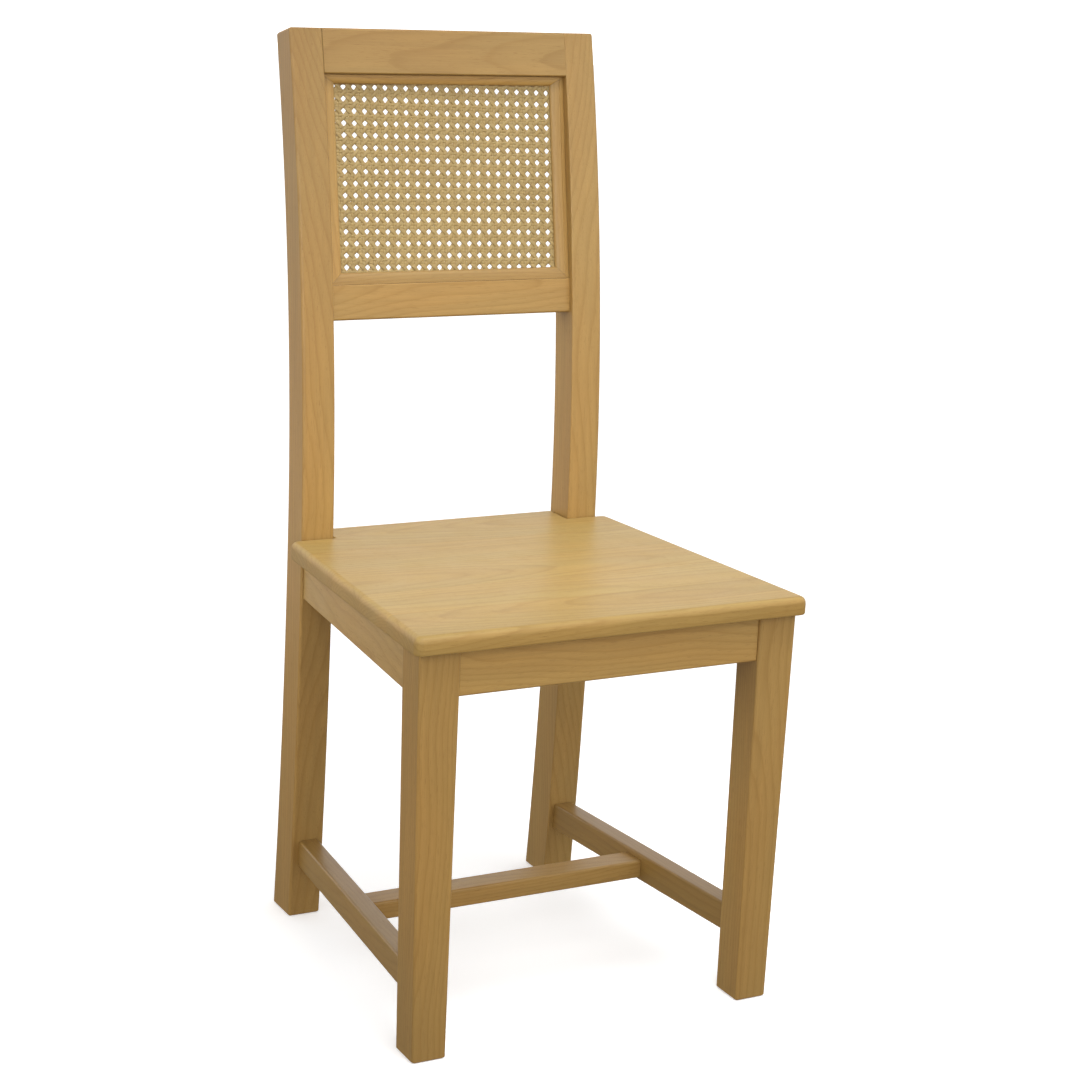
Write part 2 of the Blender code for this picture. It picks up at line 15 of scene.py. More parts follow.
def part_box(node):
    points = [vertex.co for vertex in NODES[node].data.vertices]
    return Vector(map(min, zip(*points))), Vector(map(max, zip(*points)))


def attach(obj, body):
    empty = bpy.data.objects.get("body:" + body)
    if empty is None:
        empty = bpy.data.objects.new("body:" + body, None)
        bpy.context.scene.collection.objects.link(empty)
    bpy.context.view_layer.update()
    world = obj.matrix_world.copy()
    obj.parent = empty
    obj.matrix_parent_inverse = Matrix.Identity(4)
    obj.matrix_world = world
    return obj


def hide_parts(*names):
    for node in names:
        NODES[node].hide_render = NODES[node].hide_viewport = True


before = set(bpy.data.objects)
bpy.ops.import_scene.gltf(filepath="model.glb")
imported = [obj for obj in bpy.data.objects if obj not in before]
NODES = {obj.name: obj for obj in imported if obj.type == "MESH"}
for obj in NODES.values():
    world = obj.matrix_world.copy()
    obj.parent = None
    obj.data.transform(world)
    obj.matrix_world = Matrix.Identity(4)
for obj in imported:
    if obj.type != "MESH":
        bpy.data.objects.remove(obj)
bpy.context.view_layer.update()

MM = 0.001
rng = np.random.default_rng(20)


# ---------------------------------------------------------------- camera

AZIMUTH, ELEVATION, ROLL = (math.radians(a) for a in (-28.4788, 14.1864, 2.5498))
EYE = Vector((-1.20161, -2.28019, 1.13352))

back = Vector(
    (
        math.sin(AZIMUTH) * math.cos(ELEVATION),
        -math.cos(AZIMUTH) * math.cos(ELEVATION),
        math.sin(ELEVATION),
    )
)
right = (-back).cross(Vector((0, 0, 1))).normalized()
up = right.cross(-back)
right, up = (
    right * math.cos(ROLL) + up * math.sin(ROLL),
    up * math.cos(ROLL) - right * math.sin(ROLL),
)
lens = bpy.data.cameras.new("camera")
lens.sensor_fit = "HORIZONTAL"
lens.sensor_width = 36
lens.lens = 80.426
lens.clip_start = 0.05
lens.clip_end = 200
camera = bpy.data.objects.new("camera", lens)
rotation = Matrix((right, up, back)).transposed()
camera.matrix_world = Matrix.Translation(EYE) @ rotation.to_4x4()
bpy.context.scene.collection.objects.link(camera)
bpy.context.scene.camera = camera


# ---------------------------------------------------------------- node helper


class Tree:
    """Short calls for building a shader's node tree."""

    def __init__(self, name):
        self.material = bpy.data.materials.new(name)
        self.material.use_nodes = True
        self.nodes = self.material.node_tree.nodes
        self.links = self.material.node_tree.links
        self.nodes.clear()
        self.out = self.nodes.new("ShaderNodeOutputMaterial")
        self.bsdf = self.nodes.new("ShaderNodeBsdfPrincipled")
        self.links.new(self.bsdf.outputs[0], self.out.inputs[0])

    def put(self, socket, value):
        if isinstance(value, bpy.types.NodeSocket):
            self.links.new(value, socket)
        elif value is not None:
            socket.default_value = value

    def node(self, kind, *inputs, out=0, **fields):
        made = self.nodes.new(kind)
        for key, value in fields.items():
            setattr(made, key, value)
        for index, value in enumerate(inputs):
            self.put(made.inputs[index], value)
        return made.outputs[out]

    def math(self, operation, a, b=None, c=None):
        return self.node("ShaderNodeMath", a, b, c, operation=operation)

    def noise(self, vector, scale, detail=2.0, roughness=0.5, distortion=0.0):
        made = self.nodes.new("ShaderNodeTexNoise")
        self.put(made.inputs["Vector"], vector)
        self.put(made.inputs["Scale"], scale)
        self.put(made.inputs["Detail"], detail)
        self.put(made.inputs["Roughness"], roughness)
        self.put(made.inputs["Distortion"], distortion)
        return made.outputs["Fac"]

    def scaled(self, vector, x, y, z):
        made = self.nodes.new("ShaderNodeVectorMath")
        made.operation = "MULTIPLY"
        self.put(made.inputs[0], vector)
        made.inputs[1].default_value = (x, y, z)
        return made.outputs[0]

    def split(self, vector):
        made = self.nodes.new("ShaderNodeSeparateXYZ")
        self.put(made.inputs[0], vector)
        return made.outputs

    def join(self, x, y, z):
        made = self.nodes.new("ShaderNodeCombineXYZ")
        for index, value in enumerate((x, y, z)):
            self.put(made.inputs[index], value)
        return made.outputs[0]

    def ramp(self, value, stops, mode="LINEAR"):
        made = self.nodes.new("ShaderNodeValToRGB")
        made.color_ramp.interpolation = mode
        elements = made.color_ramp.elements
        while len(elements) > len(stops):
            elements.remove(elements[-1])
        while len(elements) < len(stops):
            elements.new(0.5)
        for element, (at, colour) in zip(elements, stops):
            element.position = at
            if isinstance(colour, (int, float)):
                colour = (colour, colour, colour)
            element.color = (*colour, 1)
        self.put(made.inputs[0], value)
        return made.outputs[0]

    def span(self, value, low, high, to_low=0.0, to_high=1.0, smooth=False):
        made = self.nodes.new("ShaderNodeMapRange")
        made.interpolation_type = "SMOOTHSTEP" if smooth else "LINEAR"
        self.put(made.inputs["Value"], value)
        made.inputs["From Min"].default_value = low
        made.inputs["From Max"].default_value = high
        made.inputs["To Min"].default_value = to_low
        made.inputs["To Max"].default_value = to_high
        return made.outputs[0]

    def mix(self, factor, a, b, blend="MIX"):
        made = self.nodes.new("ShaderNodeMix")
        made.data_type = "RGBA"
        made.blend_type = blend
        made.clamp_result = False
        sockets = [s for s in made.inputs if s.type == "RGBA"]
        self.put(made.inputs[0], factor)
        for socket, value in zip(sockets, (a, b)):
            if isinstance(value, tuple) and len(value) == 3:
                value = (*value, 1)
            self.put(socket, value)
        return next(s for s in made.outputs if s.type == "RGBA")

    def bump(self, height, strength, distance, normal=None):
        made = self.nodes.new("ShaderNodeBump")
        made.inputs["Strength"].default_value = strength
        made.inputs["Distance"].default_value = distance
        self.put(made.inputs["Height"], height)
        if normal is not None:
            self.put(made.inputs["Normal"], normal)
        return made.outputs[0]

    def shade(self, **values):
        for key, value in values.items():
            if isinstance(value, tuple) and len(value) == 3:
                value = (*value, 1) if "Color" in key or "Tint" in key else value
            self.put(self.bsdf.inputs[key], value)


# ---------------------------------------------------------------- wood

HONEY = (0.434, 0.264, 0.080)  # the lacquered wood's middle tone, linear
LATE = (0.320, 0.172, 0.042)  # the dark line at the end of each year's growth
PORE = (0.205, 0.096, 0.024)
END_GRAIN = (0.93, 0.87, 0.83)


def basis(along, face):
    """Rows along the grain, across it in the board's face, and through the board."""
    a = Vector(along).normalized()
    c = Vector(face)
    c = (c - a * c.dot(a)).normalized()
    return Matrix((a, c.cross(a), c))


def wood(
    name,
    along,
    face,
    middle,
    seed,
    tone=1.0,
    warmth=0.0,
    tint=(1.0, 1.0, 1.0),
    painted_light_falloff=None,
    edge=None,
    pith=(60, -150),
    slant=0.02,
    ring=4.2,
    figure=1.0,
    roughness=0.40,
    coat=0.18,
    gloss=0.40,
    raw=False,
):
    """Solid wood. The texture is a tree trunk in 3-D, cut where the piece lies:
    years' growth around a pith beside the board, fibres and pores along it, and
    end grain wherever a piece is cut across. painted_light_falloff is painted
    light and shade along a long piece, slowly lighter or darker where the lamps
    light it more or less: half its length, and five gains from end to end.
    edge is a painted shade that a board's long edges are multiplied by, so they
    read darker than its top. Lengths in the tree are in mm."""
    t = Tree(name)
    draw = np.random.default_rng(seed)
    rows = basis(along, face)
    place = rows @ Vector(middle)
    offset = draw.uniform(-400, 400)
    made = t.nodes.new("ShaderNodeMapping")
    made.vector_type = "POINT"
    made.inputs["Scale"].default_value = (1000, 1000, 1000)
    made.inputs["Rotation"].default_value = rows.to_euler("XYZ")
    made.inputs["Location"].default_value = (
        -place.x * 1000 + offset,
        -place.y * 1000,
        -place.z * 1000,
    )
    coordinates = t.nodes.new("ShaderNodeTexCoord").outputs["Object"]
    t.put(made.inputs["Vector"], coordinates)
    p = made.outputs[0]
    x, y, z = t.split(p)

    # the trunk wanders a little, so rings wave along the board
    sway = t.noise(t.scaled(p, 0.0022, 0.008, 0.008), 1.0, 2.0, 0.5)
    sway2 = t.noise(t.scaled(t.join(y, x, z), 0.008, 0.0030, 0.008), 1.0, 1.5, 0.5)
    fine = t.noise(t.scaled(p, 0.011, 0.07, 0.07), 1.0, 2.0, 0.5)
    dy = t.math("MULTIPLY_ADD", sway, 34.0, -17.0 + pith[0])
    dz = t.math("MULTIPLY_ADD", sway2, 34.0, -17.0 + pith[1])
    leaning = t.math("MULTIPLY", x, slant)
    ry = t.math("SUBTRACT", y, dy)
    rz = t.math("SUBTRACT", t.math("SUBTRACT", z, dz), leaning)
    radius = t.math(
        "SQRT", t.math("ADD", t.math("MULTIPLY", ry, ry), t.math("MULTIPLY", rz, rz))
    )
    radius = t.math("ADD", radius, t.math("MULTIPLY", fine, 2.6))
    years = t.math("DIVIDE", radius, ring)
    # unequal years: a slow wobble of the ring width
    years = t.math(
        "ADD",
        years,
        t.math("MULTIPLY", t.math("SINE", t.math("MULTIPLY", years, 0.73)), 0.28),
    )
    within = t.math("FRACT", years)
    late = t.ramp(
        within,
        [(0.0, 0.34), (0.06, 0.10), (0.45, 0.0), (0.80, 0.42), (0.93, 1.0), (1.0, 0.5)],
        "B_SPLINE",
    )
    this_year = t.math("SUBTRACT", years, within)
    year_tone = t.node(
        "ShaderNodeTexWhiteNoise", None, this_year, noise_dimensions="1D"
    )

    # fibres: thin streaks, many times longer than wide
    fibre = t.noise(t.scaled(p, 0.018, 0.85, 0.85), 1.0, 3.0, 0.62)
    streak = t.noise(t.scaled(p, 0.0055, 0.16, 0.16), 1.0, 2.0, 0.55)
    hair = t.noise(t.scaled(p, 0.055, 3.4, 3.4), 1.0, 2.0, 0.6)
    # pores: short dark dashes, crowded in the early wood
    pore_field = t.noise(t.scaled(p, 0.085, 2.3, 2.3), 1.0, 1.0, 0.4)
    crowd = t.ramp(
        within, [(0.0, 0.060), (0.22, 0.045), (0.5, 0.010), (1.0, 0.0)], "LINEAR"
    )
    pores = t.span(t.math("ADD", pore_field, crowd), 0.665, 0.735, 0.0, 1.0, True)
    cloud = t.noise(t.scaled(p, 0.0032, 0.014, 0.014), 1.0, 2.0, 0.5)
    flame = t.noise(t.scaled(t.join(z, x, y), 0.020, 0.0045, 0.020), 1.0, 1.0, 0.5)

    shift = 1.0 + 0.035 * warmth
    own = (tone * shift * tint[0], tone * tint[1], tone / shift**1.6 * tint[2])
    light = tuple(a * b for a, b in zip(HONEY, own))
    dark = tuple(a * b for a, b in zip(LATE, own))
    lines = t.math("MULTIPLY", late, 0.52 * figure)
    colour = t.mix(lines, light, dark)
    # each year, streak and cloud is a touch lighter or darker
    gain = t.math("MULTIPLY_ADD", year_tone, 0.05 * figure, 1.0 - 0.025 * figure)
    gain = t.math("MULTIPLY", gain, t.math("MULTIPLY_ADD", fibre, 0.20, 0.90))
    gain = t.math("MULTIPLY", gain, t.math("MULTIPLY_ADD", streak, 0.22, 0.89))
    gain = t.math("MULTIPLY", gain, t.math("MULTIPLY_ADD", hair, 0.12, 0.94))
    gain = t.math("MULTIPLY", gain, t.math("MULTIPLY_ADD", cloud, 0.18, 0.91))
    # painted light and shade: gains along the piece darken it where the lamps light it less, towards the floor, and
    # lighten it where they light it more, near the seat
    if painted_light_falloff:
        half, *gains = painted_light_falloff
        along_piece = t.span(x, offset - half, offset + half)
        slow = t.ramp(along_piece, [(k / 4, g / 2) for k, g in enumerate(gains)])
        gain = t.math("MULTIPLY", gain, t.math("MULTIPLY", slow, 2.0))
    colour = t.mix(1.0, colour, t.join(gain, gain, gain), "MULTIPLY")
    warm = t.span(flame, 0.36, 0.66, 0.0, 0.34, True)
    colour = t.mix(warm, colour, t.mix(1.0, colour, (1.05, 0.93, 0.80), "MULTIPLY"))
    colour = t.mix(t.math("MULTIPLY", pores, 0.42), colour, PORE)
    # end grain soaks up more lacquer, and is browner
    facing = t.nodes.new("ShaderNodeVectorMath")
    facing.operation = "DOT_PRODUCT"
    t.put(facing.inputs[0], t.nodes.new("ShaderNodeNewGeometry").outputs["Normal"])
    facing.inputs[1].default_value = rows[0]
    end = t.span(t.math("ABSOLUTE", facing.outputs["Value"]), 0.55, 0.97, 0.0, 1.0, True)
    colour = t.mix(end, colour, t.mix(1.0, colour, END_GRAIN, "MULTIPLY"))
    # painted shade: a board's long edges, its front and back, are multiplied darker than its top, as the lamps light
    # them less
    if edge:
        across = t.nodes.new("ShaderNodeVectorMath")
        across.operation = "DOT_PRODUCT"
        t.put(across.inputs[0], t.nodes.new("ShaderNodeNewGeometry").outputs["Normal"])
        across.inputs[1].default_value = rows[1]
        side = t.span(t.math("ABSOLUTE", across.outputs["Value"]), 0.50, 0.95, 0.0, 1.0, True)
        colour = t.mix(side, colour, t.mix(1.0, colour, edge, "MULTIPLY"))
    if raw:
        colour = t.mix(1.0, colour, (1.04, 1.05, 1.12), "MULTIPLY")

    relief = t.math("MULTIPLY", pores, -1.0)
    relief = t.math("MULTIPLY_ADD", hair, 0.30, relief)
    relief = t.math("MULTIPLY_ADD", late, 0.18, relief)
    normal = t.bump(relief, 0.55 if raw else 0.22, 0.00018)
    handled = t.noise(t.scaled(coordinates, 22, 22, 22), 1.0, 3.0, 0.55)
    rough = t.math("MULTIPLY_ADD", handled, 0.16, roughness - 0.08)
    rough = t.math("MULTIPLY_ADD", pores, 0.12, rough)
    t.shade(
        **{
            "Base Color": colour,
            "Roughness": rough,
            "Normal": normal,
            "IOR": 1.48,
            "Specular IOR Level": gloss,
            "Coat Weight": 0.0 if raw else coat,
            "Coat Roughness": 0.30,
            "Coat IOR": 1.46,
        }
    )
    if not raw:
        wide = t.noise(t.scaled(p, 0.004, 0.02, 0.02), 1.0, 1.0, 0.5)
        t.put(t.bsdf.inputs["Coat Normal"], t.bump(wide, 0.35, 0.0008))
    return t.material


def lean(z0, z1):
    """The direction of a rear post between two heights, in its own curve."""

    def front(z):
        if z < 0.46:
            return 0.3823 + 0.0186 * ((z - 0.46) / 0.46) ** 2
        return 0.3823 + 0.064 * ((z - 0.46) / 0.56) ** 2

    return Vector((0, front(z1) - front(z0), z1 - z0)).normalized()


FRONT, UP_FACE = (0, -1, 0), (0, 0, 1)
APRON_SIDE = math.atan2(208 - 175.5, 344.8)
STRETCHER_SIDE = math.atan2(197.5 - 169.3, 344.8)


def middle_of(name):
    low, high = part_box(name)
    return (low + high) / 2


def side_run(side, angle):
    """The direction of a side rail that closes in towards the back."""
    return (-side * math.sin(angle), math.cos(angle), 0)


for side, word in ((-1, "left"), (1, "right")):
    odd = 0 if side < 0 else 1
    # The posts' and legs' gains from end to end are painted light and shade, darker towards the floor and lighter near
    # the seat. Their low tones are partly the wood's own colour and partly painted shade.
    PIECES = {
        f"rear_post_{word}": dict(
            along=lean(0.1, 0.95),
            face=FRONT,
            seed=11 + odd,
            pith=(-85 + 150 * odd, -120),
            slant=0.020 - 0.034 * odd,
            tone=(0.875, 0.945)[odd],
            warmth=(0.4, -0.5)[odd],
            painted_light_falloff=((510, 0.92, 1.02, 1.07, 0.94, 0.85), (510, 0.92, 1.05, 1.02, 0.99, 0.93))[odd],
            ring=4.6,
        ),
        f"front_leg_{word}": dict(
            along=(0.014 * side, 0, 1),
            face=FRONT,
            seed=21 + odd,
            pith=(70 - 20 * odd, -110 + 10 * odd),
            slant=0.03 - 0.05 * odd,
            tone=(0.885, 0.93)[odd],
            warmth=(0.7, 0.3)[odd],
            painted_light_falloff=((220, 0.88, 0.99, 1.05, 0.98, 0.94), (220, 0.93, 0.99, 1.01, 1.0, 0.97))[odd],
            ring=4.4,
        ),
        f"{word}_apron": dict(
            along=side_run(side, APRON_SIDE),
            face=(side, 0, 0),
            seed=31 + odd,
            pith=(30, -160),
            slant=0.02,
            tone=1.08,
            warmth=-1.0,
        ),
        f"{word}_stretcher": dict(
            along=side_run(side, STRETCHER_SIDE),
            face=(side, 0, 0),
            seed=41 + odd,
            pith=(-40, -90),
            slant=0.025,
            # painted shade: the stretchers' low tone and yellower tint stand for the dim, warm light under the seat
            tone=(0.75, 0.72)[odd],
            warmth=0.4,
            tint=(1.0, 0.985, 0.90),
            coat=0.40,
        ),
    }
    for name, look in PIECES.items():
        NODES[name].data.materials[0] = wood(name, middle=middle_of(name), **look)

# the seat's boards are a little paler and yellower, and duller where people sit; their long edges are darkened with a
# painted shade
SEAT = dict(tint=(0.970, 1.035, 1.05), coat=0.10, gloss=0.30, roughness=0.44, edge=(0.94, 0.88, 0.80))

for name, look in {
    "crest_rail": dict(along=(1, 0, 0), face=FRONT, seed=51, pith=(-30, -95), slant=0.045, warmth=0.0, ring=4.8, tone=0.80),
    "lower_back_rail": dict(along=(1, 0, 0), face=FRONT, seed=53, pith=(20, -80), slant=-0.06, warmth=-0.2, tone=0.92),
    "front_apron": dict(along=(1, 0, 0), face=FRONT, seed=55, pith=(55, -120), slant=0.03, warmth=-0.2, tone=1.045),
    "rear_apron": dict(along=(1, 0, 0), face=FRONT, seed=57, pith=(-45, -120), slant=0.03),
    "cross_stretcher": dict(along=(1, 0, 0), face=UP_FACE, seed=59, pith=(25, -90), slant=0.03, tone=0.965, warmth=0.3),
    # painted light: the top bead's raised tone lightens the shade that the crest rail casts into its recess
    "bead_top": dict(along=(1, 0, 0), face=FRONT, seed=61, pith=(40, -60), slant=0.0, ring=3.4, tone=1.16),
    "bead_bottom": dict(along=(1, 0, 0), face=FRONT, seed=62, pith=(40, -60), slant=0.0, ring=3.4, tone=0.81, warmth=-0.4),
    "bead_left": dict(along=(0, 0.16, 0.987), face=FRONT, seed=63, pith=(40, -60), slant=0.0, ring=3.4),
    "bead_right": dict(along=(0, 0.16, 0.987), face=FRONT, seed=64, pith=(40, -60), slant=0.0, ring=3.4, tone=0.90, warmth=-0.4),
    "strip_top": dict(along=(1, 0, 0), face=FRONT, seed=65, pith=(40, -60), slant=0.0, tone=0.96),
    "strip_bottom": dict(along=(1, 0, 0), face=FRONT, seed=66, pith=(40, -60), slant=0.0, tone=0.96),
    "strip_left": dict(along=(0, 0.16, 0.987), face=FRONT, seed=67, pith=(40, -60), slant=0.0, tone=0.96),
    "strip_right": dict(along=(0, 0.16, 0.987), face=FRONT, seed=68, pith=(40, -60), slant=0.0, tone=0.96),
    "seat_board_1": dict(along=(1, 0, 0), face=UP_FACE, seed=71, pith=(20, -46), slant=0.055, tone=1.01, warmth=-0.9, **SEAT, ring=5.0),
    "seat_board_2": dict(along=(1, 0, 0), face=UP_FACE, seed=72, pith=(-60, -150), slant=-0.03, tone=1.06, warmth=-1.3, **SEAT, ring=4.4),
    "seat_board_3": dict(along=(1, 0, 0), face=UP_FACE, seed=73, pith=(-8, -52), slant=-0.05, tone=1.01, warmth=-1.1, **SEAT, ring=5.2),
    "seat_board_4": dict(along=(1, 0, 0), face=UP_FACE, seed=74, pith=(75, -120), slant=0.02, tone=0.98, warmth=-1.2, **SEAT, ring=4.2),
    "seat_board_5": dict(along=(1, 0, 0), face=UP_FACE, seed=75, pith=(10, -60), slant=0.05, tone=0.975, warmth=-1.1, **SEAT, ring=4.9),
}.items():
    NODES[name].data.materials[0] = wood(name, middle=middle_of(name), **look)

for k, (row, word) in enumerate(
    (r, w) for r in ("front", "rear") for w in ("left", "right")
):
    name = f"corner_block_{row}_{word}"
    turn = (1 if word == "left" else -1) * (1 if row == "front" else -1)
    NODES[name].data.materials[0] = wood(
        name,
        along=(1, -turn, 0),
        face=(turn, 1, 0),
        middle=middle_of(name),
        seed=81 + k,
        pith=(30, -60),
        roughness=0.62,
        raw=True,
    )


# ---------------------------------------------------------------- screws


def steel():
    t = Tree("zinc_screws")
    coordinates = t.nodes.new("ShaderNodeTexCoord").outputs["Object"]
    patch = t.noise(t.scaled(coordinates, 500, 500, 500), 1.0, 3.0, 0.6)
    scratch = t.noise(t.scaled(coordinates, 260, 2600, 2600), 1.0, 2.0, 0.6)
    colour = t.mix(patch, (0.62, 0.60, 0.56), (0.74, 0.73, 0.71))
    t.shade(
        **{
            "Base Color": colour,
            "Metallic": 1.0,
            "Roughness": t.math("MULTIPLY_ADD", scratch, 0.25, 0.22),
            "Normal": t.bump(scratch, 0.2, 0.00005),
        }
    )
    return t.material


zinc = steel()
for name, node in NODES.items():
    if name.startswith("screw_"):
        node.data.materials[0] = zinc


# ---------------------------------------------------------------- soft edges


def finish_modifier():
    """Joins the imported triangles and shades them smooth across shallow edges."""
    group = bpy.data.node_groups.new("smooth_skin", "GeometryNodeTree")
    group.interface.new_socket("Geometry", in_out="INPUT", socket_type="NodeSocketGeometry")
    group.interface.new_socket("Geometry", in_out="OUTPUT", socket_type="NodeSocketGeometry")
    nodes, links = group.nodes, group.links
    start = nodes.new("NodeGroupInput")
    end = nodes.new("NodeGroupOutput")
    drop = nodes.new("GeometryNodeRemoveAttribute")
    drop.inputs["Name"].default_value = "custom_normal"
    merge = nodes.new("GeometryNodeMergeByDistance")
    merge.inputs["Distance"].default_value = 0.00002
    faces = nodes.new("GeometryNodeSetShadeSmooth")
    faces.domain = "FACE"
    faces.inputs["Shade Smooth"].default_value = True
    edges = nodes.new("GeometryNodeSetShadeSmooth")
    edges.domain = "EDGE"
    edges.inputs["Shade Smooth"].default_value = False
    angle = nodes.new("GeometryNodeInputMeshEdgeAngle")
    sharp = nodes.new("FunctionNodeCompare")
    sharp.data_type = "FLOAT"
    sharp.operation = "GREATER_THAN"
    sharp.inputs[1].default_value = math.radians(34)
    links.new(start.outputs[0], drop.inputs["Geometry"])
    links.new(drop.outputs[0], merge.inputs["Geometry"])
    links.new(merge.outputs[0], faces.inputs["Geometry"])
    links.new(faces.outputs[0], edges.inputs["Geometry"])
    links.new(angle.outputs["Unsigned Angle"], sharp.inputs[0])
    links.new(sharp.outputs[0], edges.inputs["Selection"])
    links.new(edges.outputs[0], end.inputs[0])
    return group


smooth_skin = finish_modifier()
for name, node in NODES.items():
    if name == "cane_panel":
        continue
    skin = node.modifiers.new("skin", "NODES")
    skin.node_group = smooth_skin
    weigh = node.modifiers.new("weigh", "WEIGHTED_NORMAL")
    weigh.mode = "FACE_AREA"
    weigh.weight = 60
    weigh.keep_sharp = True


# ---------------------------------------------------------------- glue lines


def glue_lines():
    """The seat's boards, and the back's rails between the posts, are glued tight:
    each joint is filled to just under the surface, along the outline that the
    wood has there."""
    t = Tree("wood_glue")
    coordinates = t.nodes.new("ShaderNodeTexCoord").outputs["Object"]
    patch = t.noise(t.scaled(coordinates, 30, 300, 300), 1.0, 3.0, 0.6)
    t.shade(
        **{
            "Base Color": t.mix(patch, (0.36, 0.22, 0.068), (0.43, 0.27, 0.088)),
            "Roughness": t.math("MULTIPLY_ADD", patch, 0.2, 0.42),
            "Normal": t.bump(patch, 0.2, 0.0001),
        }
    )
    for k in range(1, 5):
        front, rear = NODES[f"seat_board_{k}"], NODES[f"seat_board_{k + 1}"]
        ends = []
        for node, pick in ((front, max), (rear, min)):
            at = np.empty(len(node.data.vertices) * 3)
            node.data.vertices.foreach_get("co", at)
            at = at.reshape(-1, 3)
            plane = pick(at[:, 1])
            face = at[np.abs(at[:, 1] - plane) < 2e-5]
            ends.append((plane, face))
        (y0, outline), (y1, _) = ends
        fill(f"seat_glue_line_{k}", outline[:, [0, 2]], (y0, y1), lambda a, b, c: (a, c, b), t.material)
    # the rails' shoulders, and the posts' inner faces
    shoulder, post = 0.1499, 0.1502
    for name in ("crest_rail", "lower_back_rail"):
        at = np.empty(len(NODES[name].data.vertices) * 3)
        NODES[name].data.vertices.foreach_get("co", at)
        at = at.reshape(-1, 3)
        for way, word in ((-1, "left"), (1, "right")):
            outline = at[np.abs(at[:, 0] * way - shoulder) < 2e-5][:, [1, 2]]
            ends = sorted((way * shoulder, way * post))
            fill(f"{name}_glue_line_{word}", outline, ends, lambda a, b, c: (c, a, b), t.material)


def fill(name, outline, ends, place, material):
    """A thin piece between two faces, a hair smaller than their outline."""
    import bmesh

    shape = hull(outline)
    centre = (shape.min(0) + shape.max(0)) / 2
    half = (shape.max(0) - shape.min(0)) / 2
    shape = centre + (shape - centre) * (1 - 0.00005 / half)
    lap = 0.00004
    n = len(shape)
    vertices = [place(a, b, ends[0] - lap) for a, b in shape]
    vertices += [place(a, b, ends[1] + lap) for a, b in shape]
    faces = [(i, (i + 1) % n, n + (i + 1) % n, n + i) for i in range(n)]
    faces += [tuple(reversed(range(n))), tuple(n + i for i in range(n))]
    mesh = bpy.data.meshes.new(name)
    mesh.from_pydata(vertices, [], faces)
    bm = bmesh.new()
    bm.from_mesh(mesh)
    bmesh.ops.recalc_face_normals(bm, faces=bm.faces)
    bm.to_mesh(mesh)
    bm.free()
    mesh.materials.append(material)
    piece = bpy.data.objects.new(mesh.name, mesh)
    bpy.context.scene.collection.objects.link(piece)
    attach(piece, "root")


def hull(points):
    """The convex outline of points in a plane, in order."""
    points = sorted(map(tuple, points))

    def side(rows):
        line = []
        for p in rows:
            while len(line) > 1:
                (ax, ay), (bx, by) = line[-2:]
                if (bx - ax) * (p[1] - ay) - (by - ay) * (p[0] - ax) > 0:
                    break
                line.pop()
            line.append(p)
        return line[:-1]

    return np.array(side(points) + side(points[::-1]))



glue_lines()


# ---------------------------------------------------------------- woven cane

# The panel's own frame: x to the right, t up the panel, w out of its front.
PANEL = Vector((0, 0.19404, 0.85494))
PANEL_UP = Vector((0, 0.15983, 0.98714))
PANEL_OUT = Vector((0, -0.98714, 0.15983))
CLOTH_HALF_WIDE = 149.4  # mm, the sheet's edge, hidden between beads and strips
CLOTH_HALF_TALL = 114.6
PITCH_X, PITCH_T = 12.70, 13.25  # from hole to hole
SKEW = math.radians(-1.2)  # the sheet was pressed in slightly askew
PHASE_X, PHASE_T = 0.160, -0.447  # where the holes' rows fall
LEVEL = -0.80  # mm, the sheet's middle
STRAND_THICK = 0.85
LIFT = 0.75  # how far a strand rises or dips where it crosses another


def hump(s):
    """0 between crossings, 1 at the middle of one, with eased shoulders."""
    s = np.clip(1 - np.abs(s), 0, 1)
    return s * s * (3 - 2 * s)


def ribbon(points, sides, wide, thick, draw):
    """A closed strand: a flat back, a rounded glossy front, along the points."""
    section = np.array(
        [
            (-0.50, -0.30),
            (-0.50, 0.10),
            (-0.30, 0.42),
            (0.0, 0.50),
            (0.30, 0.42),
            (0.50, 0.10),
            (0.50, -0.30),
            (0.0, -0.50),
        ]
    )
    n, m = len(points), len(section)
    tangent = np.gradient(points, axis=0)
    tangent /= np.linalg.norm(tangent, axis=1)[:, None]
    outward = np.cross(tangent, sides)
    outward /= np.linalg.norm(outward, axis=1)[:, None]
    # outward keeps facing the panel's front
    outward *= np.sign(outward[:, 2])[:, None]
    ring = (
        points[:, None, :]
        + section[None, :, 0, None] * wide * sides[:, None, :]
        + section[None, :, 1, None] * thick * outward[:, None, :]
    )
    vertices = ring.reshape(-1, 3)
    faces = []
    for i in range(n - 1):
        for j in range(m):
            k = (j + 1) % m
            faces.append((i * m + j, i * m + k, (i + 1) * m + k, (i + 1) * m + j))
    faces.append(tuple(reversed(range(m))))
    faces.append(tuple((n - 1) * m + j for j in range(m)))
    return vertices, faces


cos_k, sin_k = math.cos(SKEW), math.sin(SKEW)


def to_panel(a, b):
    """Lattice coordinates, where holes are at whole numbers, to (x, t) in mm."""
    p = PITCH_X * (a + PHASE_X)
    q = PITCH_T * (b + PHASE_T)
    return p * cos_k - q * sin_k, p * sin_k + q * cos_k


def from_panel(x, t):
    p = x * cos_k + t * sin_k
    q = -x * sin_k + t * cos_k
    return p / PITCH_X - PHASE_X, q / PITCH_T - PHASE_T


HALF_PAIR = 1.79 / PITCH_X  # half the space between the middles of a pair
HALF_PAIR_T = 1.79 / PITCH_T
PAIR_WIDE, DIAGONAL_WIDE = 3.34, 4.45  # mm, a strand's width
HUMP = 0.20  # how far from its middle a crossing is felt, in steps of the lattice


